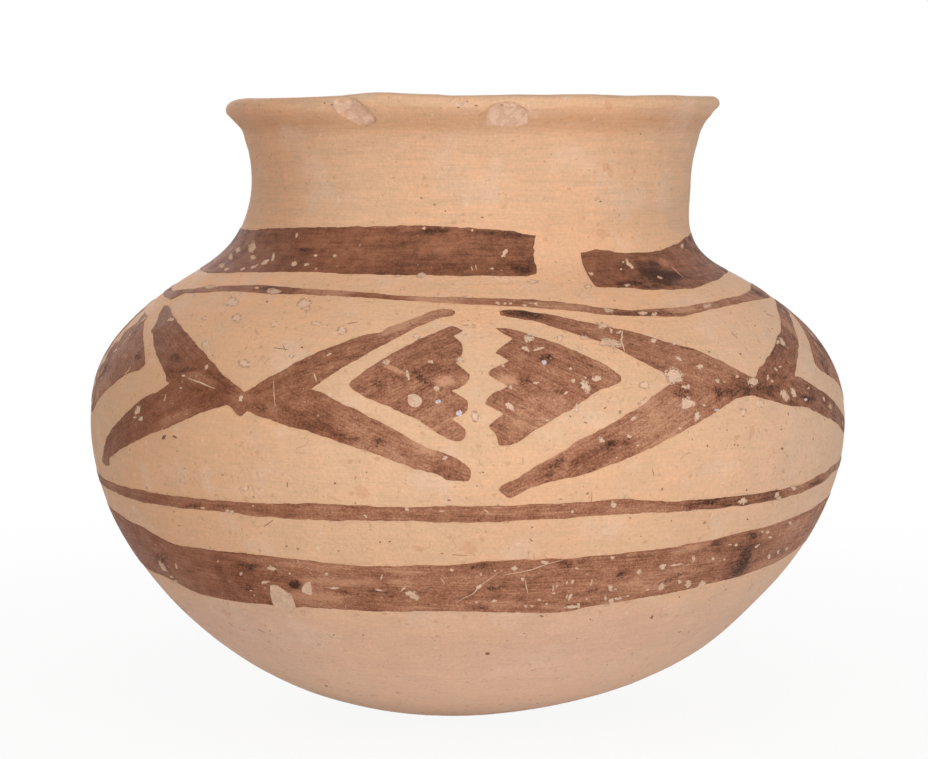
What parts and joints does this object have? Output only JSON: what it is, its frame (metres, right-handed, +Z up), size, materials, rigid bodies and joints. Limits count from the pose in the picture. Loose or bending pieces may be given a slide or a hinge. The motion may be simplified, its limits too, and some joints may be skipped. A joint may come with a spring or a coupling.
{
  "type": "pottery jar",
  "caption": "Round-bellied pottery jar with a short neck and flared lip, painted in brown slip with bands, lines, chevron crosses and stepped triangles.",
  "frame": {"origin": "on the ground under the centre of the belly, which is the bottom centre of the bounding box", "axes": "+Z up through the mouth; the painted front, with the break in the neck band to its right, faces -Y; +X is to the right seen from the front"},
  "size_m": [0.19, 0.1904, 0.1542],
  "materials": {
    "clay": "fired buff clay, rubbed smooth by hand, satin",
    "slip": "fired brown slip, brushed on by hand, worn, satin"
  },
  "bodies": {
    "root": {"jar_body": "clay", "neck_band": "slip", "upper_line": "slip", "lower_line": "slip", "lower_band": "slip", "cross_front_left": "slip", "cross_front_right": "slip", "cross_back_right": "slip", "cross_back_left": "slip", "triangle_front_left": "slip", "triangle_front_right": "slip", "triangle_right_near": "slip", "triangle_right_far": "slip", "triangle_back_right": "slip", "triangle_back_left": "slip", "triangle_left_far": "slip", "triangle_left_near": "slip"}
  },
  "joints": []
}
